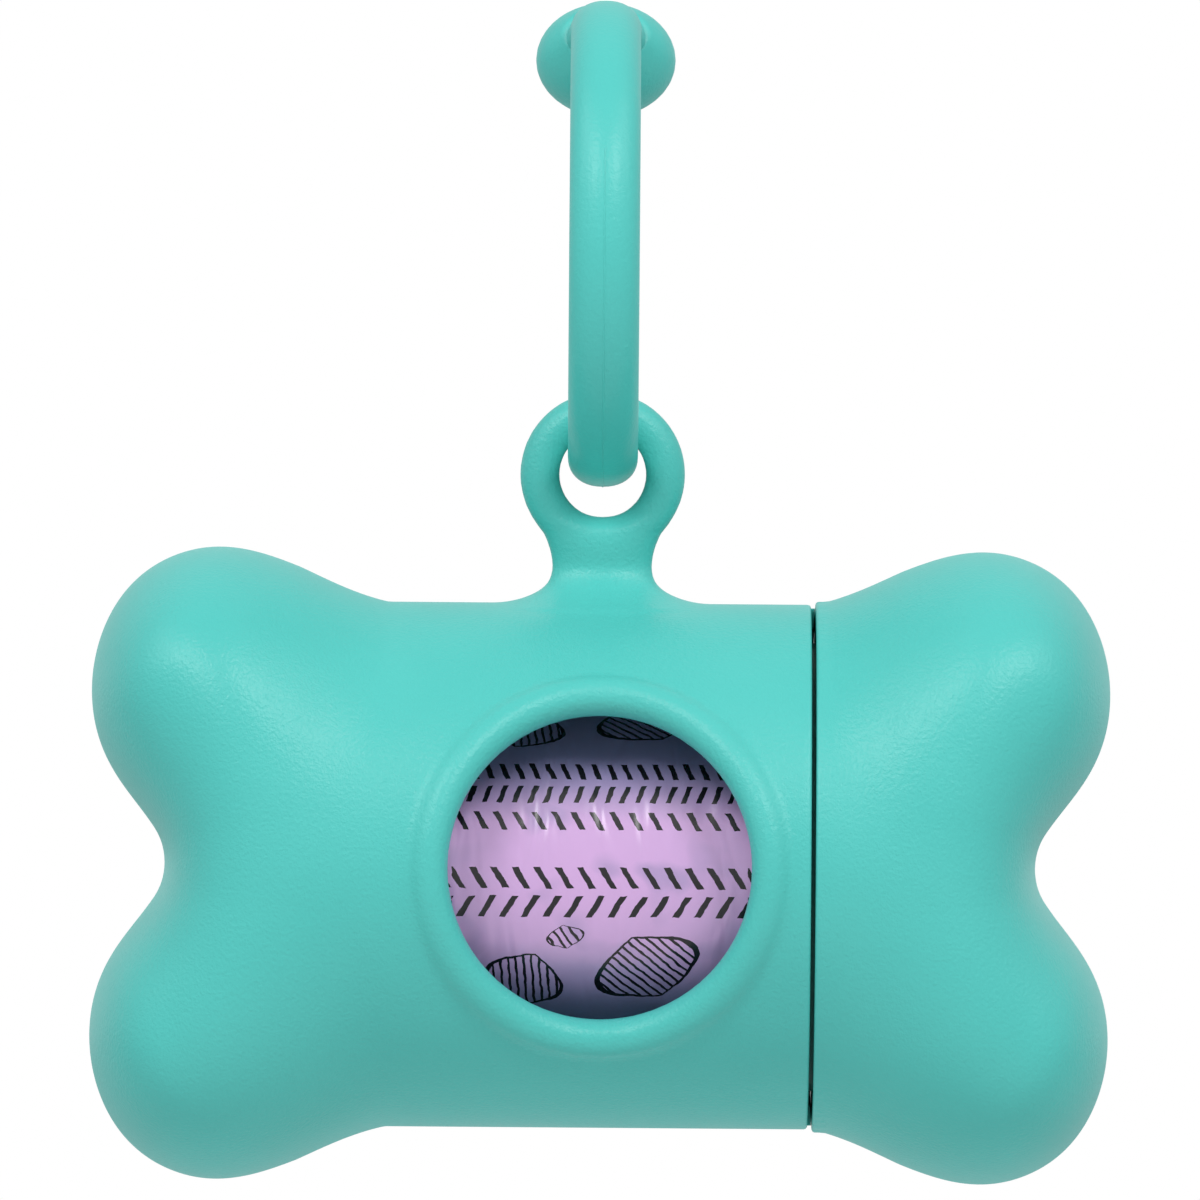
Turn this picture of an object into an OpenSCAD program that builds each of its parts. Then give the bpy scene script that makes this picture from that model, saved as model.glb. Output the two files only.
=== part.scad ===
// Waste bag dispenser in the shape of a bone, hanging on a soft ring.
// X runs along the bone, Y away from the window, Z up.
// The origin is the inner top of the ring, where the dispenser hangs.
// The end with the eyelet and the window is the body; the right end is a cap that pulls off.

/* [Bag roll] */
// Outer diameter of a full roll of bags
roll_d = 32.8; // [26:0.2:40]
// Length of the roll
roll_l = 57; // [50:0.5:70]
// Height of the step that the loose end of the film makes on the roll
film_step = 0.35; // [0.1:0.05:1]
// Outer diameter of the paper core
core_d = 12.8; // [10:0.1:16]
// Wall of the paper core
core_wall = 1.2; // [0.6:0.1:2]
// Free space between the roll and the round cradle, on the radius
roll_play = 1.6; // [0.8:0.1:3]
// Gap left under the roll where it lies in the cradle
roll_lift = 0.3; // [0.1:0.05:0.6]

/* [Bone] */
// Thickness of the moulded shells
wall = 2.2; // [1.4:0.1:3]
// From the end of the roll to the end of the bone
end_room = 16.5; // [14:0.5:24]
// Knob centre, in from the end of the bone
knob_in = 7.97; // [7:0.01:10]
// Knob centre, in from the radius of the middle
knob_drop = 6.13; // [4:0.01:8]
// Knob, half size along its long axis
knob_tall = 8.59; // [7:0.01:11]
// Knob, half size from front to back
knob_deep = 18.01; // [13:0.01:22]
// Knob, half size across
knob_thick = 6.38; // [5:0.01:8]
// Lean of the knob's long axis towards the middle, in degrees
knob_lean = 19; // [0:1:40]
// Depth of the notch between the two knobs, in from the end of the bone
notch_in = 8.77; // [6:0.01:12]
// Squareness of the middle where it ends in the notch
notch_power = 5; // [2:0.5:6]
// Width of the soft blend between the knobs and the middle
blend = 17.3; // [8:0.1:24]
// Width of the soft blend between the two knobs
blend_pair = 6.1; // [2:0.1:12]
// Length over which the blend opens
blend_run = 8.15; // [4:0.05:14]
// How early the blend opens: small is early
blend_early = 0.1; // [0.05:0.05:1]

/* [Window] */
// Clear diameter of the window
window_d = 26.6; // [18:0.2:30]
// Width of the raised rim
rim_w = 3.5; // [2.4:0.1:5]
// Height of the rim above the shell
rim_proud = 0.85; // [0.4:0.05:1.4]
// Plain shell left between the rim and the seam
land = 1.7; // [1:0.1:4]
// How far the shell reaches into the rim, past the middle of its bead
rim_bite = 0.45; // [0.2:0.05:1]

/* [Mouth and cap] */
// Open seam between the body and the cap
seam_gap = 0.4; // [0.2:0.05:1]
// Wall of the mouth collar
collar_wall = 1.8; // [1.2:0.1:3]
// Space from the collar to the inside of the shell
seat = 1.2; // [0.8:0.1:2.4]
// How far the collar reaches into the cap
collar_reach = 5.7; // [4:0.1:9]
// Free play on the radius between the collar and the cap
slide_fit = 0.1; // [0.02:0.01:0.3]
// Width of the key that lines up the cap
key_w = 2; // [1.2:0.1:4]
// Height of the key above the collar
key_h = 1; // [0.6:0.1:1.2]
// Free space round the key in its slot
key_play = 0.15; // [0.05:0.05:0.4]
// Thickness of the flange that holds the collar in the body
flange_t = 1.6; // [1:0.1:3]
// How far the flange stands out from the collar
flange_w = 0.9; // [0.5:0.1:1.4]
// From the seam back to the flange
flange_back = 1.7; // [1:0.1:4]
// Width of the land behind the flange
flange_land = 1.4; // [1:0.1:3]
// From the seam in to the liner inside the cap
liner_in = 0.3; // [0:0.1:2]
// Lead-in taper at the collar's open end
collar_lead = 0.6; // [0.2:0.1:1.2]

/* [Hanging ring] */
// Outer diameter of the ring
ring_d = 43; // [36:0.5:60]
// Width of the ring's strap
strap_w = 6.2; // [4:0.1:9]
// Thickness of the ring's strap
strap_t = 3.85; // [3:0.05:6]
// Part of the thickness on the flatter inner side
strap_inner = 1.2; // [0.8:0.05:2]
// Width of the button head
head_w = 12.4; // [10:0.1:16]
// Thickness of the button head
head_t = 9; // [6:0.1:12]
// Place of the head round the back of the ring, in degrees above level
head_at = 57.3; // [30:0.1:70]
// Place where the free end meets the head, in degrees above level
join_at = 72; // [60:0.1:85]
// Diameter of the peg that plugs into the head
peg_d = 2.7; // [1.6:0.1:3.2]
// Length of the peg
peg_l = 4.2; // [3:0.1:5]
// Free space round the peg in its hole, on the radius
peg_play = 0.15; // [0.05:0.05:0.4]
// Width of the crease between the free end and the head
slit = 0.2; // [0.1:0.05:0.8]
// How far the fixed end of the strap runs into the head, in degrees
strap_sink = 5; // [2:1:12]

/* [Eyelet] */
// Play of the strap in the hole, on the radius
eye_play = 0.7; // [0.4:0.05:1.5]
// Thickness of the eyelet
eye_t = 3.5; // [2.8:0.1:5]
// Height of the hole's centre above the shell
eye_rise = 11.4; // [10:0.1:16]
// Width of the neck at its narrowest
neck_w = 8.84; // [6:0.02:12]
// Thickness of the neck from front to back
neck_t = 3.8; // [3:0.1:6]
// Height of the neck's narrowest place, as a share of its height
neck_waist = 0.54; // [0.3:0.02:0.8]
// How much the neck spreads at its foot, on each side
neck_foot_w = 2.6; // [1:0.1:4]
// How much the neck thickens at its foot, on the front and on the rear
neck_foot_t = 3.2; // [1:0.1:4]
// How much the neck spreads under the eyelet, on each side
neck_head_w = 1; // [0:0.1:2]
// Room left between the strap's corners and the hole's edge
hang_gap = 0.25; // [0.1:0.05:0.5]

/* [Ribs and pins] */
// Thickness of the cradle rib and of the end web
rib_t = 1.6; // [1:0.1:3]
// Diameter of the opening in the end web
web_hole = 24; // [16:0.5:28]
// Play between the roll and the end web
web_play = 0.6; // [0.3:0.1:2]
// Diameter of the posts inside the knobs
post_d = 5.2; // [4:0.1:7]
// Diameter of the pins that line up the halves
pin_d = 2.5; // [1.6:0.1:3.2]
// Length of the pins
pin_l = 4.5; // [3:0.1:7]
// Depth left under a pin in its hole
pin_room = 0.5; // [0.2:0.1:1]
// From the knob's centre in to its post, both ways
post_in = 1.2; // [0:0.1:3]
// Place of the cradle rib, in from the middle's closed end
rib_in = 1; // [0.5:0.1:4]

/* [Hidden] */
$fn = 96;

// Sizes that follow from the ones above: the roll, the collar and the wall make the middle's radius.
cradle_r = roll_d / 2 + roll_play;
collar_r = cradle_r + collar_wall;
inner_r = collar_r + seat;
mid_r = inner_r + wall;
mouth_x = window_d / 2 + rim_w + land;
cap_x = mouth_x + seam_gap;
half_l = roll_l / 2 + end_room;
knob_x = half_l - knob_in;
knob_z = mid_r - knob_drop;
notch_x = half_l - notch_in;
roll_z = -(roll_play - roll_lift);
web_x = roll_l / 2 + web_play;
post_x = knob_x - post_in;
post_z = knob_z - post_in;
rim_r = window_d / 2 + rim_w / 2;
rim_seat_r = mid_r - rim_w / 2 + rim_proud;
hole_r = strap_w / 2 + eye_play;
eye_r = hole_r + eye_t / 2;
eye_z = mid_r + eye_rise;
flange_r = collar_r + flange_w;
flange_x = mouth_x - flange_back - flange_t;
liner_x = cap_x + liner_in;
collar_end = cap_x + collar_reach;

// Clearance between pieces that are pushed or glued together, and how deep joined shapes run into each other.
fit = 0.1;
overlap = 0.5;

// Outline of the strap's section, a soft rectangle: [distance from the ring's centre, place across].
strap_power = 2 / 2.2;
function strap_side(a) = sign(cos(a)) * pow(abs(cos(a)), strap_power) * strap_w / 2;
function strap_height(a) = sign(sin(a)) * pow(abs(sin(a)), strap_power)
    * (sin(a) > 0 ? strap_t - strap_inner : strap_inner) - (strap_t - strap_inner);
strap_section = [for (a = [0:10:350]) [ring_d / 2 + strap_height(a), strap_side(a)]];

// The body hangs with the hole as low on the strap as its corners allow.
eye_drop = max([for (a = [270:5:360])
    -strap_height(a) - sqrt(pow(hole_r - hang_gap, 2) - pow(strap_side(a), 2))]);
ring_z = eye_z - eye_drop + ring_d / 2;
hang_z = ring_z + ring_d / 2 - strap_t;
mid_strap = ring_d / 2 - strap_t / 2;

// Height above the shell that a point has: below zero is inside the bone. The right end is described.
function soft_min(a, b, k) = min(a, b) - pow(max(k - abs(a - b), 0) / k, 2) * k / 4;
function knob(p) = let (
    q = [p[0] * cos(90 + knob_lean) + p[2] * sin(90 + knob_lean), p[1],
         p[2] * cos(90 + knob_lean) - p[0] * sin(90 + knob_lean)],
    s = [q[0] / knob_tall, q[1] / knob_deep, q[2] / knob_thick],
    g = [s[0] / knob_tall, s[1] / knob_deep, s[2] / knob_thick])
    norm(s) * (norm(s) - 1) / max(norm(g), 0.0001);
function middle(p) = let (
    n = notch_power,
    run = notch_x - mouth_x,
    u = max(p[0] - mouth_x, 0) / run,
    v = max(norm([p[1], p[2]]) / mid_r, 0.0001),
    k = pow(pow(u, n) + pow(v, n), 1 / n))
    (k - 1) / (pow(k, 1 - n) * norm([pow(u, n - 1) / run, pow(v, n - 1) / mid_r]));
function bone(p) = let (
    upper = knob(p - [knob_x, 0, knob_z]),
    lower = knob([p[0] - knob_x, p[1], -p[2] - knob_z]),
    open = min(max((p[0] - mouth_x) / blend_run, 0), 1))
    soft_min(soft_min(upper, lower, blend_pair), middle(p), max(blend * pow(open, blend_early), 0.01));

// Distance from a point inside to the surface that lies "depth" under the skin.
function reach(p, d, depth, near = 0, far = 64, n = 18) = n == 0 ? (near + far) / 2
    : bone(p + d * (near + far) / 2) < -depth ? reach(p, d, depth, (near + far) / 2, far, n - 1)
    : reach(p, d, depth, near, (near + far) / 2, n - 1);

// Skin of one half end: a pole point, then rings of points from the pole to the open edge.
rings = 16;
spokes = 32;
function ray(i, j) = let (a = 90 * i / rings, b = 180 * j / spokes)
    [cos(a), sin(a) * sin(b), sin(a) * cos(b)];
function skin(x, depth, tail_r) = let (
    start = [x, 0, 0],
    last = tail_r == 0 ? rings : rings - 1)
    [start + ray(0, 0) * reach(start, ray(0, 0), depth),
     for (i = [1:last], j = [0:spokes]) start + ray(i, j) * reach(start, ray(i, j), depth),
     if (tail_r > 0) for (back = [0, overlap], j = [0:spokes])
         start - [back, 0, 0] + ray(rings, j) * tail_r];
function spot(i, j) = i == 0 ? 0 : 1 + (i - 1) * (spokes + 1) + j;

// One half of a hollow end on the rear side. With a tail it runs into the wall of the middle,
// thinner than that wall on both faces, so that no two faces coincide.
tail_out = 0.02;
tail_in = 0.06;
module end_half(x, tail) {
    outer = skin(x, 0, tail ? mid_r - tail_out : 0);
    inner = skin(x, wall, tail ? inner_r + tail_in : 0);
    n = len(outer);
    rows = tail ? rings + 1 : rings;
    faces = [
        for (i = [0:rows - 1], j = [0:spokes - 1]) let (
            a = spot(i, j), c = spot(i + 1, j + 1), d = spot(i + 1, j))
            each [[a, d, c], [n + a, n + c, n + d]],
        for (i = [1:rows - 1], j = [0:spokes - 1]) let (
            a = spot(i, j), b = spot(i, j + 1), c = spot(i + 1, j + 1))
            each [[a, c, b], [n + a, n + b, n + c]],
        for (i = [0:rows - 1]) let (a = spot(i, 0), d = spot(i + 1, 0))
            each [[a, n + d, d], [a, n + a, n + d]],
        for (i = [0:rows - 1]) let (a = spot(i, spokes), d = spot(i + 1, spokes))
            each [[a, d, n + d], [a, n + d, n + a]],
        for (j = [0:spokes - 1]) let (a = spot(rows, j), b = spot(rows, j + 1))
            each [[a, n + b, b], [a, n + a, n + b]]];
    polyhedron(concat(outer, inner), faces, convexity = 8);
}

// Solid through a row of closed sections with the same number of points.
module skinned(sections, closed) {
    n = len(sections[0]);
    count = len(sections);
    rows = closed ? count : count - 1;
    sides = [for (i = [0:rows - 1], j = [0:n - 1]) let (
        a = i * n + j, b = i * n + (j + 1) % n,
        c = ((i + 1) % count) * n + (j + 1) % n, d = ((i + 1) % count) * n + j)
        each [[a, c, b], [a, d, c]]];
    ends = closed ? [] : [for (j = [1:n - 2]) each [[0, j, j + 1],
        [(count - 1) * n, (count - 1) * n + j + 1, (count - 1) * n + j]]];
    polyhedron([for (s = sections) each s], concat(sides, ends), convexity = 6);
}

// Half ring round the bone's axis on the rear side, from x0 to x1.
module half_ring(x0, x1, r0, r1) {
    rotate([0, 90, 0]) rotate_extrude(angle = 180) translate([r0, x0]) square([r1 - r0, x1 - x0]);
}

module full_ring(x0, x1, r0, r1) {
    rotate([0, 90, 0]) rotate_extrude() translate([r0, x0]) square([r1 - r0, x1 - x0]);
}

// Web across the body's closed end, which stops the roll. Its rim is sunk in the shell.
module web_half() {
    mid = [web_x + rib_t / 2, 0, 0];
    outline = [for (j = [0:spokes]) let (b = 180 * j / spokes)
        [-cos(b), sin(b)] * reach(mid, [0, sin(b), cos(b)], wall * 0.6)];
    translate([web_x, 0, 0]) rotate([0, 90, 0]) linear_extrude(rib_t) difference() {
        polygon(outline);
        circle(d = web_hole);
    }
}

// Post in each knob, from the parting plane into the shell. Its rim stays under the skin.
// In the cap the posts also stop the roll.
post_h = min([for (a = [0:45:315])
    reach([post_x + cos(a) * post_d / 2, 0, post_z + sin(a) * post_d / 2], [0, 1, 0], wall * 0.4)]);
module at_posts() {
    for (side = [-1, 1]) translate([post_x, 0, side * post_z]) rotate([-90, 0, 0]) children();
}
module posts() {
    at_posts() cylinder(d = post_d, h = post_h);
}
module pins() {
    at_posts() translate([0, 0, -pin_l]) cylinder(d = pin_d, h = pin_l + 2 * overlap);
}
module pin_holes() {
    at_posts() translate([0, 0, -overlap]) cylinder(d = pin_d + fit, h = pin_l + pin_room + overlap);
}

// Half of the eyelet and of the neck under it. The neck spreads into its foot and into the hoop,
// and its sections are ellipses with slightly square shoulders.
neck_low = mid_r + 0.1;
neck_high = eye_z - eye_r + overlap;
neck_square = 0.9;
function neck_row(t) = let (
    foot = max(1 - t / neck_waist, 0),
    head = max(t - neck_waist, 0) / (1 - neck_waist))
    neck_section(neck_low + t * (neck_high - neck_low),
        neck_w / 2 + neck_foot_w * pow(foot, 2.4) + neck_head_w * pow(head, 1.8),
        neck_t / 2 + neck_foot_t * pow(foot, 2) - overlap * pow(head, 2));
function neck_section(z, half_w, half_t) = [for (a = [0:12:180])
    [half_w * sign(cos(a)) * pow(abs(cos(a)), neck_square), half_t * pow(sin(a), neck_square), z]];
module eyelet_half() {
    translate([0, 0, eye_z]) rotate([-90, 0, 0]) rotate_extrude() intersection() {
        translate([eye_r, 0]) circle(d = eye_t, $fn = 48);
        square([2 * eye_r, eye_t]);
    }
    skinned([neck_section(mid_r - wall * 0.75, neck_w / 2 + neck_foot_w, neck_t / 2 + neck_foot_t),
             for (t = [0:0.1:1]) neck_row(t),
             neck_section(neck_high + overlap, neck_w / 2, neck_t / 4)], false);
}

// Everything that the front and the rear half of the body share, on the rear side.
module body_half() {
    half_ring(-mouth_x, mouth_x, inner_r, mid_r);
    mirror([1, 0, 0]) end_half(mouth_x, true);
    mirror([1, 0, 0]) web_half();
    mirror([1, 0, 0]) posts();
    half_ring(rib_in - mouth_x, rib_in - mouth_x + rib_t, cradle_r, inner_r + overlap);
    half_ring(flange_x - flange_land, mouth_x - fit, collar_r + fit / 2, inner_r + overlap);
    eyelet_half();
}

module cap_half() {
    end_half(cap_x, false);
    posts();
    half_ring(liner_x, collar_end + slide_fit, collar_r + slide_fit, inner_r + overlap);
}

module flange_groove() {
    translate([flange_x - fit, 0, 0]) rotate([0, 90, 0])
        cylinder(r = flange_r + fit, h = flange_t + 2 * fit);
}

// Raised rim round the window, a round bead that follows the curve of the shell.
function rim_point(a) = let (z = rim_r * sin(a)) [rim_r * cos(a), -sqrt(rim_seat_r * rim_seat_r - z * z), z];
function rim_ring(a) = let (
    c = rim_point(a),
    along = rim_point(a + 1) - rim_point(a - 1),
    up = [0, c[1], c[2]] / norm([0, c[1], c[2]]),
    side = cross(up, along) / norm(cross(up, along)),
    lift = cross(along, side) / norm(cross(along, side)))
    [for (b = [0:30:330]) c + (side * cos(b) + lift * sin(b)) * rim_w / 2];
module window_rim() {
    skinned([for (a = [0:7.5:352.5]) rim_ring(a)], true);
}

module in_bone() {
    translate([0, 0, -hang_z]) children();
}

module body_front_shell() {
    color("MediumTurquoise") in_bone() difference() {
        union() {
            difference() {
                mirror([0, 1, 0]) body_half();
                rotate([90, 0, 0]) cylinder(r = rim_r - rim_bite, h = 2 * mid_r);
            }
            window_rim();
        }
        flange_groove();
        mirror([0, 1, 0]) mirror([1, 0, 0]) pin_holes();
    }
}

module body_rear_shell() {
    color("LightSeaGreen") in_bone() {
        difference() {
            body_half();
            flange_groove();
        }
        mirror([1, 0, 0]) pins();
    }
}

// Spigot at the mouth: a thin ring held by its flange, with a tapered end and a key on the rear side.
module mouth_collar() {
    start = flange_x - flange_land + fit;
    key_end = collar_end - collar_lead;
    color("DarkCyan") in_bone() {
        rotate([0, 90, 0]) rotate_extrude() polygon([
            [cradle_r, start], [cradle_r, collar_end], [collar_r - collar_lead, collar_end],
            [collar_r, collar_end - collar_lead], [collar_r, flange_x + flange_t],
            [flange_r, flange_x + flange_t], [flange_r, flange_x], [collar_r, flange_x], [collar_r, start]]);
        translate([liner_x, collar_r - overlap, -key_w / 2])
            cube([key_end - liner_x, key_h + overlap, key_w]);
    }
}

module cap_front_shell() {
    color("MediumTurquoise") in_bone() difference() {
        mirror([0, 1, 0]) cap_half();
        mirror([0, 1, 0]) pin_holes();
    }
}

module cap_rear_shell() {
    slot_w = key_w + 2 * key_play;
    color("LightSeaGreen") in_bone() {
        difference() {
            cap_half();
            translate([cap_x - overlap, collar_r - overlap, -slot_w / 2])
                cube([collar_reach + slide_fit + 2 * overlap, key_h + key_play + overlap, slot_w]);
        }
        pins();
    }
}

// The soft ring, one piece: strap, button head at the back, and a peg plugged into the head.
module carry_ring() {
    slit_turn = slit / mid_strap * 180 / PI;
    turn = 360 - slit_turn - join_at + head_at - strap_sink;
    color("Turquoise") in_bone() translate([0, 0, ring_z]) rotate([90, 0, 90]) {
        rotate([0, 0, join_at + slit_turn]) {
            rotate_extrude(angle = turn) polygon(strap_section);
            translate([mid_strap, peg_d / 2, 0]) rotate([90, 0, 0])
                cylinder(d = peg_d, h = peg_l + peg_d / 2);
        }
        difference() {
            rotate([0, 0, head_at]) translate([mid_strap, 0, 0]) rotate([0, 90, 0]) button();
            rotate([0, 0, join_at]) {
                translate([0, 0, -head_w]) cube([ring_d, head_w, 2 * head_w]);
                translate([mid_strap, overlap, 0]) rotate([90, 0, 0])
                    cylinder(d = peg_d + 2 * peg_play, h = peg_l + overlap + 2 * peg_play);
            }
        }
    }
}

module button() {
    rotate_extrude() polygon([for (a = [-90:9:90]) [cos(a) * head_w / 2, sin(a) * head_t / 2]]);
}

// The wound bags: a one-turn spiral, so the loose end of the film stands up as a small step.
module bag_roll() {
    color("Thistle") in_bone() translate([-roll_l / 2, 0, roll_z]) rotate([0, 90, 0])
        linear_extrude(roll_l) difference() {
            polygon([for (a = [0:4:356]) (roll_d / 2 - film_step * a / 356) * [cos(a - 60), sin(a - 60)]]);
            circle(d = core_d + fit);
        }
}

module roll_core() {
    color("BurlyWood") in_bone() translate([0, 0, roll_z])
        full_ring(-roll_l / 2, roll_l / 2, core_d / 2 - core_wall, core_d / 2);
}

body_front_shell();
body_rear_shell();
mouth_collar();
cap_front_shell();
cap_rear_shell();
carry_ring();
bag_roll();
roll_core();
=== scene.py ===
# Looks of the bone-shaped waste bag dispenser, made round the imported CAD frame.
import math
from collections import Counter
import bmesh
import bpy
import numpy as np
from mathutils import Matrix, Vector


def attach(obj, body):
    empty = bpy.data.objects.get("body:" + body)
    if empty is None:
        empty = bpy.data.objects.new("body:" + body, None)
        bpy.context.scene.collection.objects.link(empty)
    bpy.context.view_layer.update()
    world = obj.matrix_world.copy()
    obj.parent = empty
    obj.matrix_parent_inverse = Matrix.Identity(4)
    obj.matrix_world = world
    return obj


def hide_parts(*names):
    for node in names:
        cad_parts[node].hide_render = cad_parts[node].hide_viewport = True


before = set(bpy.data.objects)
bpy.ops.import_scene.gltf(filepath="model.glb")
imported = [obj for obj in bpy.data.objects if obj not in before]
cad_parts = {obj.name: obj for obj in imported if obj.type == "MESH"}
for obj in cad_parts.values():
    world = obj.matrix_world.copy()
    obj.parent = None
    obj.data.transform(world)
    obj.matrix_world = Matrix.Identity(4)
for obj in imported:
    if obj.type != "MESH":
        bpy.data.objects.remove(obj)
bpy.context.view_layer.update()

# Shapes are drawn in mm from the middle of the bone's axis, X along it, Y back and Z up, and the finished meshes
# are in metres from the frame's origin. Camera, floor and lamps are in metres from that origin too.
mm = 0.001
hangHeight = 72.64  # the ring's inner top above the axis, which is the frame's origin


# the seam lies between mouthX and capX; the knobs are leaning eggs that blend into the barrel and into each other
bone = {
    "midRadius": 23.2, "wall": 2.2, "mouthX": 18.5, "capX": 18.9,
    "knobSize": (8.59, 18.01, 6.38), "knobX": 37.03, "knobZ": 17.07, "knobLean": 19.0,
    "notchX": 36.23, "notchPower": 5.0,
    "blend": 17.3, "pairBlend": 6.1, "blendRun": 8.15, "blendEarly": 0.1,
}


def softMin(a, b, k):
    h = np.maximum(k - np.abs(a - b), 0) / k
    return np.minimum(a, b) - h * h * k / 4


def knobGap(x, y, z):
    # nearly the distance to one leaning egg
    lean = math.radians(90 + bone["knobLean"])
    a = x * math.cos(lean) + z * math.sin(lean)
    b = z * math.cos(lean) - x * math.sin(lean)
    s = [q / r for q, r in zip((a, y, b), bone["knobSize"])]
    g = [q / r for q, r in zip(s, bone["knobSize"])]
    k = np.sqrt(sum(q * q for q in s))
    return k * (k - 1) / np.maximum(np.sqrt(sum(q * q for q in g)), 1e-6)


def boneGap(x, y, z):
    # distance to the bone's skin, below zero inside; both ends are alike
    x, n = np.abs(x), bone["notchPower"]
    knobs = softMin(knobGap(x - bone["knobX"], y, z - bone["knobZ"]),
                    knobGap(x - bone["knobX"], y, -z - bone["knobZ"]), bone["pairBlend"])
    run = bone["notchX"] - bone["mouthX"]
    u = np.maximum(x - bone["mouthX"], 0) / run
    v = np.maximum(np.hypot(y, z) / bone["midRadius"], 1e-4)
    k = (u ** n + v ** n) ** (1 / n)
    slope = k ** (1 - n) * np.hypot(u ** (n - 1) / run, v ** (n - 1) / bone["midRadius"])
    opened = np.clip((x - bone["mouthX"]) / bone["blendRun"], 0, 1) ** bone["blendEarly"]
    return softMin(knobs, (k - 1) / slope, np.maximum(bone["blend"] * opened, 0.01))


# a hoop on a neck that widens towards the bone below its waist and narrows above it
eyelet = {"z": 34.6, "midRadius": 5.55, "section": 1.75, "neckWidth": 8.84, "neckDepth": 3.8,
          "neckLow": 21.6, "neckFrom": 23.3, "neckTo": 29.4, "waist": 0.54, "footWider": 2.2, "footDeeper": 2.6,
          "topNarrower": 1.5, "topThinner": 0.3, "neckPower": 2.2, "blend": 2.0}


def eyeletGap(x, y, z):
    hoop = np.hypot(np.hypot(x, z - eyelet["z"]) - eyelet["midRadius"], y) - eyelet["section"]
    t = np.clip((z - eyelet["neckFrom"]) / (eyelet["neckTo"] - eyelet["neckFrom"]), -0.1, 1)
    low = np.maximum(1 - t / eyelet["waist"], 0)
    high = np.maximum(t - eyelet["waist"], 0) / (1 - eyelet["waist"])
    halfX = eyelet["neckWidth"] / 2 + eyelet["footWider"] * low ** 2.4 - eyelet["topNarrower"] * high ** 2
    halfY = eyelet["neckDepth"] / 2 + eyelet["footDeeper"] * low ** 2 - eyelet["topThinner"] * high ** 2
    p = eyelet["neckPower"]
    s = ((np.abs(x) / halfX) ** p + (np.abs(y) / halfY) ** p) ** (1 / p)
    neck = (s - 1) * np.minimum(halfX, halfY)
    neck = np.maximum(neck, np.maximum(z - eyelet["neckTo"], eyelet["neckLow"] - z))
    return softMin(hoop, neck, eyelet["blend"])


window = {"clearRadius": 13.3, "rimWidth": 3.5, "proud": 0.85, "cutRadius": 14.6, "fillet": 0.4}


def rimGap(x, y, z):
    # a round bead that follows the curve of the shell
    turn = np.arctan2(z, x)
    half = window["rimWidth"] / 2
    ring = window["clearRadius"] + half
    seat = bone["midRadius"] - half + window["proud"]
    dx, dz = x - ring * np.cos(turn), z - ring * np.sin(turn)
    dy = y + np.sqrt(seat ** 2 - (ring * np.sin(turn)) ** 2)
    return np.sqrt(dx * dx + dy * dy + dz * dz) - half


def bodyGap(x, y, z):
    shell = boneGap(x, y, z)
    skin = softMin(shell, eyeletGap(x, y, z), eyelet["blend"])
    solid = np.maximum(skin, -(shell + bone["wall"]))
    solid = np.where(y < 0, np.maximum(solid, window["cutRadius"] - np.hypot(x, z)), solid)
    return softMin(solid, rimGap(x, y, z), window["fillet"])


def capGap(x, y, z):
    shell = boneGap(x, y, z)
    return np.maximum(shell, -(shell + bone["wall"]))


wrapping = {"cell": 0.5, "rounds": 4, "evening": 0.5, "slopeStep": 0.02}  # mm, and the share evened in each round


def slopeOf(gap, p):
    g, h = np.empty_like(p), wrapping["slopeStep"]
    for a in range(3):
        step = np.zeros(3)
        step[a] = h
        g[:, a] = (gap(*(p + step).T) - gap(*(p - step).T)) / (2 * h)
    return g


def settle(gap, points, quads):
    # evens out the points along the skin and puts them exactly on it
    pairs = np.vstack([quads[:, [0, 1]], quads[:, [1, 2]], quads[:, [2, 3]], quads[:, [3, 0]]])
    count = np.bincount(pairs.ravel(), minlength=len(points))
    for _ in range(wrapping["rounds"]):
        mean = np.stack([np.bincount(pairs[:, 0], points[pairs[:, 1], a], len(points))
                         + np.bincount(pairs[:, 1], points[pairs[:, 0], a], len(points))
                         for a in range(3)], 1) / count[:, None]
        g = slopeOf(gap, points)
        n = g / np.maximum(np.linalg.norm(g, axis=1), 1e-9)[:, None]
        pull = mean - points
        points = points + wrapping["evening"] * (pull - (pull * n).sum(1)[:, None] * n)
        for _ in range(2):
            g = slopeOf(gap, points)
            points = points - (gap(*points.T) / np.maximum((g * g).sum(1), 0.04))[:, None] * g
    return points


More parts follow.
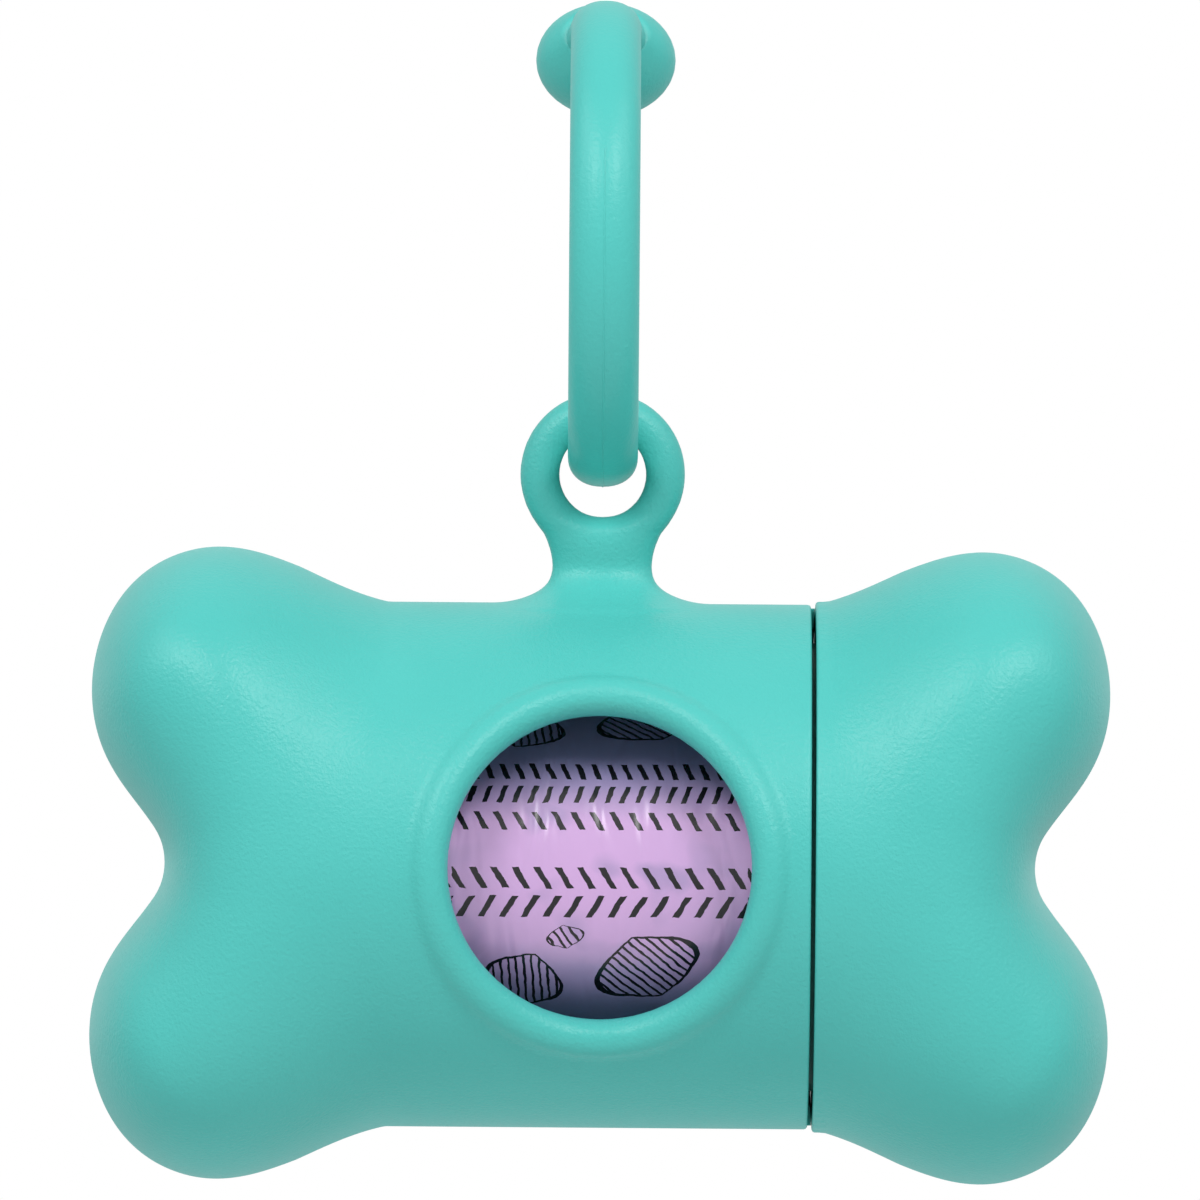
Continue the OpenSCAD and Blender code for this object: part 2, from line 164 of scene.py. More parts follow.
def wrapSkin(gap, low, high):
    # one point in each cell that the skin passes, joined across each grid edge that it cuts
    step = wrapping["cell"]
    axes = [np.arange(a, b + step / 2, step) for a, b in zip(low, high)]
    value = gap(*np.meshgrid(*axes, indexing="ij"))
    inside = value < 0
    size = np.array(inside.shape)
    corners = [(i, j, k) for i in (0, 1) for j in (0, 1) for k in (0, 1)]
    full = sum(inside[i:size[0] - 1 + i, j:size[1] - 1 + j, k:size[2] - 1 + k].astype(int)
               for i, j, k in corners)
    cells = np.argwhere((full > 0) & (full < 8))
    index = np.full(size - 1, -1)
    index[tuple(cells.T)] = np.arange(len(cells))
    total, hits = np.zeros((len(cells), 3)), np.zeros(len(cells))
    for a in range(3):
        for c in (c for c in corners if not c[a]):
            one = cells + np.array(c)
            two = one.copy()
            two[:, a] += 1
            v0, v1 = value[tuple(one.T)], value[tuple(two.T)]
            cut = (v0 < 0) != (v1 < 0)
            place = one.astype(float)
            place[:, a] += np.where(cut, v0 / np.where(cut, v0 - v1, 1), 0)
            total += np.where(cut[:, None], place, 0)
            hits += cut
    points = total / hits[:, None] * step + np.array(low)
    quads = []
    for a in range(3):
        b, c = (a + 1) % 3, (a + 2) % 3
        lower = np.take(inside, range(size[a] - 1), axis=a)
        upper = np.take(inside, range(1, size[a]), axis=a)
        at = np.argwhere(lower != upper)
        at = at[(at[:, b] > 0) & (at[:, c] > 0) & (at[:, b] < size[b] - 1) & (at[:, c] < size[c] - 1)]
        eb, ec = np.eye(3, dtype=int)[b], np.eye(3, dtype=int)[c]
        quad = np.stack([index[tuple(q.T)] for q in (at - eb - ec, at - ec, at, at - eb)], 1)
        turned = ~lower[tuple(at.T)]
        quad[turned] = quad[turned][:, ::-1]
        quads.append(quad)
    return points, np.vstack(quads)


def sweep(sections, closed=False):
    # a closed solid through a row of closed sections
    rows, n = len(sections), len(sections[0])
    points = np.array(sections, float).reshape(-1, 3)
    faces = []
    for i in range(rows if closed else rows - 1):
        for j in range(n):
            a, b = i * n + j, i * n + (j + 1) % n
            c, d = (i + 1) % rows * n + (j + 1) % n, (i + 1) % rows * n + j
            faces.append((a, b, c, d))
    if not closed:
        faces.append(tuple(range(n))[::-1])
        faces.append(tuple(range((rows - 1) * n, rows * n)))
    return points, faces


def spun(profile, start, stop, steps):
    # turns a closed profile of (x, radius) round the bone's axis; 0 is up and 90 is back
    around = np.radians(np.linspace(start, stop, steps + 1))
    whole = abs(stop - start) == 360
    rows = [[(x, r * math.sin(a), r * math.cos(a)) for x, r in profile] for a in around]
    return sweep(rows[:-1] if whole else rows, whole)


def addObject(name, data):
    made = bpy.data.objects.new(name, data)
    bpy.context.scene.collection.objects.link(made)
    return made


def outwards(points, faces):
    # a plain mesh whose faces point outwards
    mesh = bpy.data.meshes.new("part")
    mesh.from_pydata([tuple(p) for p in points], [], [tuple(f) for f in faces])
    bm = bmesh.new()
    bm.from_mesh(mesh)
    bmesh.ops.recalc_face_normals(bm, faces=bm.faces)
    bm.to_mesh(mesh)
    bm.free()
    return mesh


def finishPiece(name, mesh, material, node, body, sharp):
    mesh.name = name
    mesh.polygons.foreach_set("use_smooth", [True] * len(mesh.polygons))
    mesh.set_sharp_from_angle(angle=math.radians(sharp))
    mesh.materials.clear()
    mesh.materials.append(material)
    piece = addObject(name, mesh)
    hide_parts(node)
    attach(piece, body)
    print("made", name, len(mesh.polygons), "faces")


def makePiece(name, parts, material, node, body, sharp=38, ready=()):
    # joins the parts into one mesh in metres from the frame's origin; ready meshes are in place already
    bm = bmesh.new()
    for points, faces in parts:
        mesh = outwards(points, faces)
        bm.from_mesh(mesh)
        bpy.data.meshes.remove(mesh)
    bm.transform(Matrix.Scale(mm, 4) @ Matrix.Translation((0, 0, -hangHeight)))
    for mesh in ready:
        bm.from_mesh(mesh)
    mesh = bpy.data.meshes.new(name)
    bm.to_mesh(mesh)
    bm.free()
    finishPiece(name, mesh, material, node, body, sharp)


def linear(colour):
    parts = [int(colour[i:i + 2], 16) / 255 for i in (1, 3, 5)]
    return tuple(c / 12.92 if c <= 0.04045 else ((c + 0.055) / 1.055) ** 2.4 for c in parts) + (1,)


def addNode(tree, kind, settings=None, links=None):
    node = tree.nodes.new(kind)
    for key, value in (settings or {}).items():
        if isinstance(key, str) and hasattr(node, key):
            setattr(node, key, value)
        else:
            node.inputs[key].default_value = value
    for key, source in (links or {}).items():
        tree.links.new(source, node.inputs[key])
    return node


def newMaterial(name):
    material = bpy.data.materials.new(name)
    material.use_nodes = True
    tree = material.node_tree
    tree.nodes.clear()
    return material, tree


def newShapeTree(name, inputs):
    # a Geometry Nodes tree with these named inputs; the second value gives their sockets inside it
    tree = bpy.data.node_groups.new(name, "GeometryNodeTree")
    tree.interface.new_socket("Geometry", in_out="OUTPUT", socket_type="NodeSocketGeometry")
    for label, kind in inputs:
        tree.interface.new_socket(label, in_out="INPUT", socket_type="NodeSocket" + kind)
    return tree, addNode(tree, "NodeGroupInput").outputs


def finishShape(tree, given, shape, place):
    # from mm round the bone's axis to metres from the frame's origin, then one real mesh with its material
    moved = addNode(tree, "GeometryNodeTransform", {"Translation": place, "Scale": (mm, mm, mm)},
                    {"Geometry": shape})
    whole = addNode(tree, "GeometryNodeRealizeInstances", links={"Geometry": moved.outputs["Geometry"]})
    painted = addNode(tree, "GeometryNodeSetMaterial", links={"Geometry": whole.outputs["Geometry"],
                                                              "Material": given["Material"]})
    addNode(tree, "NodeGroupOutput", links={"Geometry": painted.outputs["Geometry"]})


def meshFromTree(tree, values):
    # runs the tree on an empty mesh and keeps the plain mesh that it gives
    holder = addObject("holder", bpy.data.meshes.new("holder"))
    modifier = holder.modifiers.new("shape", "NODES")
    modifier.node_group = tree
    for item in tree.interface.items_tree:
        if item.in_out == "INPUT":
            modifier[item.identifier] = values[item.name]
    bpy.context.view_layer.update()
    graph = bpy.context.evaluated_depsgraph_get()
    mesh = bpy.data.meshes.new_from_object(holder.evaluated_get(graph))
    bpy.data.objects.remove(holder)
    return mesh


# colour and its clouds, roughness, the share that is glossy, the grain's size in mm and the strength of its bump
coats = {
    "softTouchShell": ("#51c3bc", "#55c6bf", 0.33, 0.60, 0.35, 0.9),  # ABS with a soft-touch lacquer
    "silicone": ("#51c3bc", "#55c6bf", 0.35, 0.60, 0.4, 0.6),  # moulded silicone rubber, with a flatter grain
    "mouldedCollar": ("#34a59e", "#38a9a2", 0.38, 0.7, 0.4, 0.1),  # bare moulded ABS, nearly smooth, in a deeper colour that is painted shade for the dark line of the seam's gap
}
mattSkin = {"cloudSize": 14, "grainDepth": 0.08, "uneven": 0.03}  # mm, and how far the roughness strays


def softTouch(name, colour, shade, roughness, gloss, grain, bump):
    # an even matt skin with soft highlights and a fine grain, drawn coarser than the real one so that it shows;
    # its matting powder leaves only part of it glossy, so its edges stay deep in colour
    material, tree = newMaterial(name)
    place = addNode(tree, "ShaderNodeTexCoord").outputs["Object"]
    fine = addNode(tree, "ShaderNodeTexNoise", {"Scale": 1 / (grain * mm), "Detail": 2.0, "Roughness": 0.6},
                   {"Vector": place})
    cloud = addNode(tree, "ShaderNodeTexNoise",
                    {"Scale": 1 / (mattSkin["cloudSize"] * mm), "Detail": 3.0, "Roughness": 0.5}, {"Vector": place})
    tone = addNode(tree, "ShaderNodeMapRange", {"From Min": 0.3, "From Max": 0.7},
                   {"Value": cloud.outputs["Fac"]})
    paint = addNode(tree, "ShaderNodeMix", {"data_type": "RGBA", 6: linear(colour), 7: linear(shade)},
                    {"Factor": tone.outputs["Result"]})
    rub = addNode(tree, "ShaderNodeMapRange",
                  {"From Min": 0.3, "From Max": 0.7, "To Min": roughness - mattSkin["uneven"],
                   "To Max": roughness + mattSkin["uneven"]}, {"Value": cloud.outputs["Fac"]})
    relief = addNode(tree, "ShaderNodeBump", {"Strength": bump, "Distance": mattSkin["grainDepth"] * mm},
                     {"Height": fine.outputs["Fac"]})
    lacquer = addNode(tree, "ShaderNodeBsdfPrincipled", {"IOR": 1.5},
                      {"Base Color": paint.outputs[2], "Roughness": rub.outputs["Result"],
                       "Normal": relief.outputs["Normal"]})
    powder = addNode(tree, "ShaderNodeBsdfDiffuse", links={"Color": paint.outputs[2],
                                                           "Normal": relief.outputs["Normal"]})
    skin = addNode(tree, "ShaderNodeMixShader", {0: gloss}, {1: powder.outputs[0], 2: lacquer.outputs[0]})
    addNode(tree, "ShaderNodeOutputMaterial", links={"Surface": skin.outputs[0]})
    return material


shellCoat, ringRubber, collarPlastic = (softTouch(name, *look) for name, look in coats.items())
print("coats ready:", ", ".join(coats))


# lengths in mm on the flat film, X along the roll and Y round it
film = {
    # the veiled colour is the grey-blue of the layers below that show through, and also of the painted shade at the
    # window's edges
    "lilac": "#dab0e4", "veiledAndShaded": "#6d7ba3", "ink": "#0d0c12", "roughness": 0.24,
    # each row of ticks: its height, the pitch, half the length and half the width of a tick, and its slant
    "ticks": ((10.6, 1.35, 0.85, 0.24, 0.35), (8.2, 1.35, 0.85, 0.24, -0.35), (5.6, 1.7, 0.85, 0.26, 0.5),
              (0.4, 1.9, 0.95, 0.30, 0.6), (-2.2, 1.9, 0.95, 0.30, -0.6)),
    # each hatched oval: its place, its half sizes and its turn in degrees
    "ovals": ((4.2, -8.0, 4.9, 3.3, 24.0), (-6.6, -9.4, 3.6, 2.9, -20.0), (-3.0, -5.0, 1.7, 1.1, 10.0)),
    "outlineAt": 0.95, "outlineHalf": 0.055, "hatchSlant": 0.45, "hatchLines": 1.35, "hatchInked": 0.34,
    "wobble": 0.35, "along": 26.0, "across": 25.7,  # from one print to the next; four go round the roll
    "margin": 27.0,  # the print, the veil and the painted shade end this far from the middle
    # the band's veil is painted shade: grey-blue bands where the window's rim shades the top and bottom of the film
    "cloudVeil": 0.35, "paintedShadeBand": 0.85, "creaseTurn": -24, "creaseBump": 0.6,
}


def tickRow(tree, x, y, centre, pitch, halfLong, halfWide, lean):
    # a mask that is 1 on a row of short slanting ticks
    slid = addNode(tree, "ShaderNodeMath", {"operation": "MULTIPLY_ADD", 1: lean}, {0: y, 2: x}).outputs[0]
    cells = addNode(tree, "ShaderNodeMath", {"operation": "DIVIDE", 1: pitch}, {0: slid}).outputs[0]
    part = addNode(tree, "ShaderNodeMath", {"operation": "FRACT"}, {0: cells}).outputs[0]
    off = addNode(tree, "ShaderNodeMath", {"operation": "COMPARE", 1: 0.5, 2: halfWide / pitch}, {0: part}).outputs[0]
    row = addNode(tree, "ShaderNodeMath", {"operation": "COMPARE", 1: centre, 2: halfLong}, {0: y}).outputs[0]
    return addNode(tree, "ShaderNodeMath", {"operation": "MULTIPLY"}, {0: off, 1: row}).outputs[0]


def hatchedOval(tree, place, x, y, halfX, halfY, turn):
    # a pointed oval with an inked outline and slanting hatch lines, once in each repeat of the print
    own = addNode(tree, "ShaderNodeMapping", {"vector_type": "TEXTURE", "Location": (x, y, 0),
                                              "Rotation": (0, 0, math.radians(turn))}, {"Vector": place}).outputs[0]
    parts = addNode(tree, "ShaderNodeSeparateXYZ", links={0: own})
    wide = addNode(tree, "ShaderNodeMath", {"operation": "DIVIDE", 1: halfX}, {0: parts.outputs["X"]}).outputs[0]
    flatX = addNode(tree, "ShaderNodeMath", {"operation": "ABSOLUTE"}, {0: wide}).outputs[0]
    tall = addNode(tree, "ShaderNodeMath", {"operation": "DIVIDE", 1: halfY}, {0: parts.outputs["Y"]}).outputs[0]
    bowed = addNode(tree, "ShaderNodeMath", {"operation": "MULTIPLY"}, {0: tall, 1: tall}).outputs[0]
    far = addNode(tree, "ShaderNodeMath", {"operation": "ADD"}, {0: flatX, 1: bowed}).outputs[0]
    within = addNode(tree, "ShaderNodeMath", {"operation": "LESS_THAN", 1: 1.0}, {0: far}).outputs[0]
    edge = addNode(tree, "ShaderNodeMath", {"operation": "COMPARE", 1: film["outlineAt"], 2: film["outlineHalf"]},
                   {0: far}).outputs[0]
    slope = addNode(tree, "ShaderNodeMath", {"operation": "MULTIPLY_ADD", 1: film["hatchSlant"]},
                    {0: parts.outputs["Y"], 2: parts.outputs["X"]}).outputs[0]
    count = addNode(tree, "ShaderNodeMath", {"operation": "MULTIPLY", 1: film["hatchLines"]}, {0: slope}).outputs[0]
    lines = addNode(tree, "ShaderNodeMath", {"operation": "FRACT"}, {0: count}).outputs[0]
    hatch = addNode(tree, "ShaderNodeMath", {"operation": "LESS_THAN", 1: film["hatchInked"]}, {0: lines}).outputs[0]
    filled = addNode(tree, "ShaderNodeMath", {"operation": "MULTIPLY"}, {0: hatch, 1: within}).outputs[0]
    return addNode(tree, "ShaderNodeMath", {"operation": "MAXIMUM"}, {0: filled, 1: edge}).outputs[0]


def filmMaterial():
    # blown polyethylene film, tinted lilac and wound tight: a milky gloss with soft creases, the layers below
    # showing through as grey-blue clouds, grey-blue bands of painted shade at the window's top and bottom edges, and
    # a black line print of ticks and hatched ovals
    material, tree = newMaterial("printedFilm")
    place = addNode(tree, "ShaderNodeAttribute", {"attribute_name": "filmPlace"}).outputs["Vector"]
    shake = addNode(tree, "ShaderNodeTexNoise", {"Scale": 0.9, "Detail": 2.0}, {"Vector": place})
    centred = addNode(tree, "ShaderNodeVectorMath", {"operation": "SUBTRACT", 1: (0.5, 0.5, 0.5)},
                      {0: shake.outputs["Color"]}).outputs[0]
    little = addNode(tree, "ShaderNodeVectorMath", {"operation": "SCALE", "Scale": film["wobble"]},
                     {0: centred}).outputs[0]
    drawn = addNode(tree, "ShaderNodeVectorMath", {"operation": "ADD"}, {0: place, 1: little}).outputs[0]
    half = (film["along"] / 2, film["across"] / 2, 1)
    spot = addNode(tree, "ShaderNodeVectorMath", {"operation": "WRAP", 1: half, 2: tuple(-q for q in half)},
                   {0: drawn}).outputs[0]
    flat = addNode(tree, "ShaderNodeSeparateXYZ", links={0: spot})
    marks = [tickRow(tree, flat.outputs["X"], flat.outputs["Y"], *row) for row in film["ticks"]]
    marks += [hatchedOval(tree, spot, *oval) for oval in film["ovals"]]
    ink = marks[0]
    for mark in marks[1:]:
        ink = addNode(tree, "ShaderNodeMath", {"operation": "MAXIMUM"}, {0: ink, 1: mark}).outputs[0]
    # the layers below showing through as clouds about 6 mm wide, and painted shade in a band between two prints,
    # which falls at the window's top and bottom edges
    under = addNode(tree, "ShaderNodeTexNoise", {"Scale": 0.17, "Detail": 1.5, "Distortion": 0.4}, {"Vector": place})
    clouds = addNode(tree, "ShaderNodeMapRange", {"From Min": 0.52, "From Max": 0.66, "To Max": film["cloudVeil"]},
                     {"Value": under.outputs["Fac"]})
    # painted shade: darkest halfway between two prints, at the window's top and bottom edges, and repeated round the
    # roll
    swing = addNode(tree, "ShaderNodeMath", {"operation": "MULTIPLY", 1: 2 * math.pi / film["across"]},
                    {0: flat.outputs["Y"]})
    wave = addNode(tree, "ShaderNodeMath", {"operation": "COSINE"}, {0: swing.outputs[0]})
    paintedShade = addNode(tree, "ShaderNodeMapRange", {"From Min": 0.25, "From Max": -1.0, "To Max": film["paintedShadeBand"]},
                     {"Value": wave.outputs[0]})
    veilAndShade = addNode(tree, "ShaderNodeMath", {"operation": "MAXIMUM"},
                   {0: clouds.outputs["Result"], 1: paintedShade.outputs["Result"]})
    # the ends of the roll are plain
    whole = addNode(tree, "ShaderNodeSeparateXYZ", links={0: place})
    printed = addNode(tree, "ShaderNodeMath", {"operation": "COMPARE", 1: 0.0, 2: film["margin"]},
                      {0: whole.outputs["X"]}).outputs[0]
    veilAndShade = addNode(tree, "ShaderNodeMath", {"operation": "MULTIPLY"}, {0: veilAndShade.outputs[0], 1: printed})
    ink = addNode(tree, "ShaderNodeMath", {"operation": "MULTIPLY"}, {0: ink, 1: printed}).outputs[0]
    tint = addNode(tree, "ShaderNodeMix", {"data_type": "RGBA", 6: linear(film["lilac"]), 7: linear(film["veiledAndShaded"])},
                   {"Factor": veilAndShade.outputs[0]})
    inked = addNode(tree, "ShaderNodeMix", {"data_type": "RGBA", 7: linear(film["ink"])},
                    {"Factor": ink, 6: tint.outputs[2]})
    # long slanting creases, about 11 mm by 3 mm
    stretch = addNode(tree, "ShaderNodeMapping", {"Rotation": (0, 0, math.radians(film["creaseTurn"])),
                                                  "Scale": (0.30, 0.09, 1)}, {"Vector": place})
    crease = addNode(tree, "ShaderNodeTexNoise", {"Scale": 1.0, "Detail": 1.5, "Roughness": 0.4, "Distortion": 0.8},
                     {"Vector": stretch.outputs[0]})
    relief = addNode(tree, "ShaderNodeBump", {"Strength": film["creaseBump"], "Distance": 0.6 * mm},
                     {"Height": crease.outputs["Fac"]})
    shader = addNode(tree, "ShaderNodeBsdfPrincipled", {"IOR": 1.51, "Roughness": film["roughness"]},
                     {"Base Color": inked.outputs[2], "Normal": relief.outputs["Normal"]})
    addNode(tree, "ShaderNodeOutputMaterial", links={"Surface": shader.outputs["BSDF"]})
    return material


paper = {"dark": "#8f7a5c", "light": "#b49c7a", "roughness": 0.85, "fibre": 2 / 3, "fibreDepth": 0.1}  # mm


def paperMaterial():
    # grey-brown wound paperboard: matt, with faint fibres, drawn coarser than the real ones
    material, tree = newMaterial("paperboard")
    place = addNode(tree, "ShaderNodeTexCoord").outputs["Object"]
    fibre = addNode(tree, "ShaderNodeTexNoise", {"Scale": 1 / (paper["fibre"] * mm), "Detail": 4.0},
                    {"Vector": place})
    tone = addNode(tree, "ShaderNodeMix", {"data_type": "RGBA", 6: linear(paper["dark"]), 7: linear(paper["light"])},
                   {"Factor": fibre.outputs["Fac"]})
    relief = addNode(tree, "ShaderNodeBump", {"Strength": 0.3, "Distance": paper["fibreDepth"] * mm},
                     {"Height": fibre.outputs["Fac"]})
    shader = addNode(tree, "ShaderNodeBsdfPrincipled", {"IOR": 1.45, "Roughness": paper["roughness"]},
                     {"Base Color": tone.outputs[2], "Normal": relief.outputs["Normal"]})
    addNode(tree, "ShaderNodeOutputMaterial", links={"Surface": shader.outputs["BSDF"]})
    return material


# rows back from the edge and in from the skin, which round it; inside the body's rear lip a ledge nearly closes the
# gap to the cap, so that no light comes through it
lip = {"rows": ((0.30, 0.0), (0.17, 0.03), (0.07, 0.10), (0.0, 0.25)), "ledge": 0.32, "ledgeOut": 0.35}
parting = {"row": 0.22, "open": 0.04, "sunk": 0.09}  # where the groove starts, its half gap and its depth


def endRow(points, faces, loopPoints, x, radius):
    # a new row of points beside an open arc, at x and with its own radius for each point
    start = len(points)
    around = points[loopPoints][:, 1:]
    around = around / np.linalg.norm(around, axis=1)[:, None]
    row = np.column_stack([np.full(len(around), x), around * radius[:, None]])
    points = np.vstack([points, row])
    for i in range(len(loopPoints) - 1):
        faces.append((loopPoints[i], loopPoints[i + 1], start + i + 1, start + i))
    return points, list(range(start, start + len(loopPoints)))


def halfShell(gap, side, low, high, cutX, edgeX, ledgeOut=0.0):
    # one half of a hollow end or body, closed at its mouth and at the parting plane
    points, quads = wrapSkin(gap, low, high)
    ends = np.abs(points[:, 0] - cutX) < wrapping["cell"] * 0.51
    points = settle(gap, points, quads)
    points[np.abs(points[:, 1]) < 0.02, 1] = 0  # exactly onto the parting plane
    r = np.hypot(points[:, 1], points[:, 2])
    keep = points[quads][:, :, 1].mean(1) * side > 1e-6
    faces = [tuple(q) for q in quads[keep]]
    # open arcs at the mouth: the edges there that only one face has
    used = Counter(frozenset(e) for f in faces for e in zip(f, f[1:] + f[:1]))
    rim = [tuple(e) for e, n in used.items() if n == 1 and all(ends[v] for v in e)]
    mid = bone["midRadius"] - bone["wall"] / 2
    arcs = []
    for outer in (True, False):
        loop = sorted({v for e in rim for v in e if (r[v] > mid) == outer},
                      key=lambda v: math.atan2(abs(points[v, 1]), points[v, 2]))
        points[loop, 0] = cutX
        arcs.append(loop)
    towards = 1 if edgeX > cutX else -1
    rows = []
    for loop, outer in zip(arcs, (True, False)):
        own = np.hypot(points[loop][:, 1], points[loop][:, 2])
        steps, edge = list(lip["rows"]), edgeX if outer else edgeX + towards * ledgeOut
        if outer and ledgeOut:
            steps += [(0.0, lip["ledge"]), (-ledgeOut, lip["ledge"])]
        for back, sunk in steps:
            points, loop = endRow(points, faces, loop, edge - towards * back, own - sunk if outer else own + sunk)
        rows.append(loop)
    return points, faces + zipArcs(points, *rows)


def zipArcs(points, one, two):
    # triangles between two arcs with different numbers of points
    faces, i, j = [], 0, 0
    turn = np.arctan2(np.abs(points[:, 1]), points[:, 2])
    while i < len(one) - 1 or j < len(two) - 1:
        if j == len(two) - 1 or (i < len(one) - 1 and turn[one[i + 1]] < turn[two[j + 1]]):
            faces.append((one[i], one[i + 1], two[j]))
            i += 1
        else:
            faces.append((one[i], two[j + 1], two[j]))
            j += 1
    return faces


def closeParting(points, faces, side):
    # fine groove along the joint of the two halves, then the flat faces that meet there
    bm = bmesh.new()
    verts = [bm.verts.new(p) for p in points]
    for f in faces:
        bm.faces.new([verts[v] for v in f])
    bmesh.ops.delete(bm, geom=[v for v in bm.verts if not v.link_faces], context="VERTS")
    bmesh.ops.recalc_face_normals(bm, faces=bm.faces)
    bmesh.ops.bisect_plane(bm, geom=bm.verts[:] + bm.edges[:] + bm.faces[:], dist=1e-4,
                           plane_co=(0, side * parting["row"], 0), plane_no=(0, 1, 0))
    bm.normal_update()
    for v in bm.verts:
        if abs(v.co.y) < 1e-5:
            n = Vector((v.normal.x, 0, v.normal.z))
            co = v.co - n.normalized() * parting["sunk"] if n.length > 1e-6 else v.co
            v.co = (co.x, side * parting["open"], co.z)
    edges = [e for e in bm.edges if e.is_boundary]
    bmesh.ops.triangle_fill(bm, use_beauty=True, use_dissolve=False, edges=edges, normal=(0, -side, 0))
    bmesh.ops.recalc_face_normals(bm, faces=bm.faces)
    bm.verts.index_update()
    out = (np.array([v.co[:] for v in bm.verts]), [tuple(v.index for v in f.verts) for f in bm.faces])
    print("parting closed, open edges left:", sum(e.is_boundary for e in bm.edges))
    bm.free()
    return out


# inner forms of the shells: cradle rib, end web, collar seat, posts and pins; they end sunkIn deep in the wall
inside = {"ribX": (-17.5, -15.9), "cradle": 18.0, "webX": 29.1, "webT": 1.6, "webHole": 12.0, "webIn": 0.6,
          "seatX": (13.8, 18.4), "seatR": 19.85, "grooveX": (15.1, 16.9), "grooveR": 20.8,
          "postX": 35.83, "postZ": 15.87, "postR": 2.6, "postTop": 19.04,
          "pinR": 1.25, "pinRoot": 0.5, "pinLength": 4.5, "pinTip": 0.3, "holeR": 1.3, "holeDepth": 5.0,
          "socketX": (19.2, 24.7), "socketR": 19.9, "socketLead": 0.3, "keyHalf": 1.15, "sunkIn": 0.5,
          "seatShort": 0.2, "steps": 48, "webSteps": 60, "rodSides": 32}


def reachTo(x, a, depth):
    # radius at which the form lies depth under the skin, in direction a from straight up, found by halving
    near, far = np.zeros_like(a), np.full_like(a, 60.0)
    for _ in range(30):
        r = (near + far) / 2
        under = boneGap(np.full_like(a, x), r * np.sin(a), r * np.cos(a)) < -depth
        near, far = np.where(under, r, near), np.where(under, far, r)
    return near


def webPart(x0, x1, turnFrom, turnTo):
    a, hole = np.radians(np.linspace(turnFrom, turnTo, inside["webSteps"] + 1)), inside["webHole"]
    reach = reachTo((x0 + x1) / 2, a, bone["wall"] * inside["webIn"])
    return sweep([[(x, r * math.sin(t), r * math.cos(t)) for x, r in ((x0, hole), (x1, hole), (x1, far), (x0, far))]
                  for t, far in zip(a, reach)])


def rod(x, z, radius, y0, y1, tip=0.0, bore=None):
    # post or pin along Y; a bore is a radius and where it ends, and it is open at y0
    def circle(r, y):
        turns = np.linspace(0, 2 * math.pi, inside["rodSides"], endpoint=False)
        return [(x + r * math.cos(t), y, z + r * math.sin(t)) for t in turns]

    if bore:
        rows = [circle(radius, y1), circle(radius, y0), circle(bore[0], y0), circle(*bore)]
    else:
        rows = [circle(radius, y0), circle(radius - tip, y1)]
        if tip:
            rows.insert(1, circle(radius, y1 + math.copysign(tip, y0 - y1)))
    return sweep(rows)


def innerParts(sign, side):
    # sign is -1 in the left end and 1 in the cap; side is -1 in the front half and 1 in the rear
    turns = (0, 180) if side > 0 else (180, 360)
    x0, x1 = sorted((sign * inside["webX"], sign * (inside["webX"] + inside["webT"])))
    parts = [webPart(x0, x1, *turns)] if sign < 0 else []
    for up in (-1, 1):
        x, z = sign * inside["postX"], up * inside["postZ"]
        bore = (inside["holeR"], side * inside["holeDepth"]) if side < 0 else None
        parts.append(rod(x, z, inside["postR"], side * parting["open"], side * inside["postTop"], bore=bore))
        if side > 0:
            parts.append(rod(x, z, inside["pinR"], inside["pinRoot"], -inside["pinLength"], inside["pinTip"]))
    return parts, turns


# the boxes searched for skin, with cells that lie evenly about the parting plane, and where the lip's rows begin
searched = {"bodyLow": (-46.2, -25.25, -29.2), "bodyHigh": (18.05, 24.75, 43.3), "bodyCut": 17.8,
            "capLow": (19.35, -25.25, -29.2), "capHigh": (46.35, 24.75, 29.3), "capCut": 19.6}


def makeShells():
    steps, socket = inside["steps"], inside["socketR"]
    deep = bone["midRadius"] - bone["wall"] + inside["sunkIn"]
    for side, word in ((-1, "front"), (1, "rear")):
        points, faces = halfShell(bodyGap, side, searched["bodyLow"], searched["bodyHigh"], searched["bodyCut"],
                                  bone["mouthX"], lip["ledgeOut"] if side > 0 else 0.0)
        more, turns = innerParts(-1, side)
        parts = [closeParting(points, faces, side)] + more
        r0, r1 = inside["ribX"]
        low = inside["cradle"]
        parts.append(spun(((r0, low), (r1, low), (r1, deep), (r0, deep)), *turns, steps))
        s0, s1 = inside["seatX"]
        g0, g1 = inside["grooveX"]
        low, high, under = inside["seatR"], inside["grooveR"], deep - inside["seatShort"]
        parts.append(spun(((s0, low), (g0, low), (g0, high), (g1, high), (g1, low), (s1, low), (s1, under),
                           (s0, under)), *turns, steps))
        makePiece("body" + word.title(), parts, shellCoat, "body_" + word + "_shell", "housing")
        points, faces = halfShell(capGap, side, searched["capLow"], searched["capHigh"], searched["capCut"],
                                  bone["capX"])
        more, turns = innerParts(1, side)
        parts = [closeParting(points, faces, side)] + more
        x0, x1 = inside["socketX"]
        lead, keyGap = inside["socketLead"], math.degrees(inside["keyHalf"] / socket)
        spans = [turns] if side < 0 else [(0, 90 - keyGap), (90 + keyGap, 180)]  # the collar's key slides between
        for span in spans:
            parts.append(spun(((x0, socket + lead), (x0 + lead, socket), (x1, socket), (x1, deep), (x0, deep)),
                              *span, steps))
        makePiece("cap" + word.title(), parts, shellCoat, "cap_" + word + "_shell", "cap")


makeShells()


# a spigot with a flange, and a key at its back that keeps the cap from turning
collar = {"x": (13.9, 24.6), "radius": (18.0, 19.8), "flangeX": (15.2, 16.8), "flangeR": 20.7,
          "chamfer": 0.35, "keyX": (19.2, 24.4), "keyWidth": 2.0, "keyTop": 20.8, "keyRoot": 0.5, "keyLead": 0.5,
          "keyEnd": 0.3, "steps": 144}


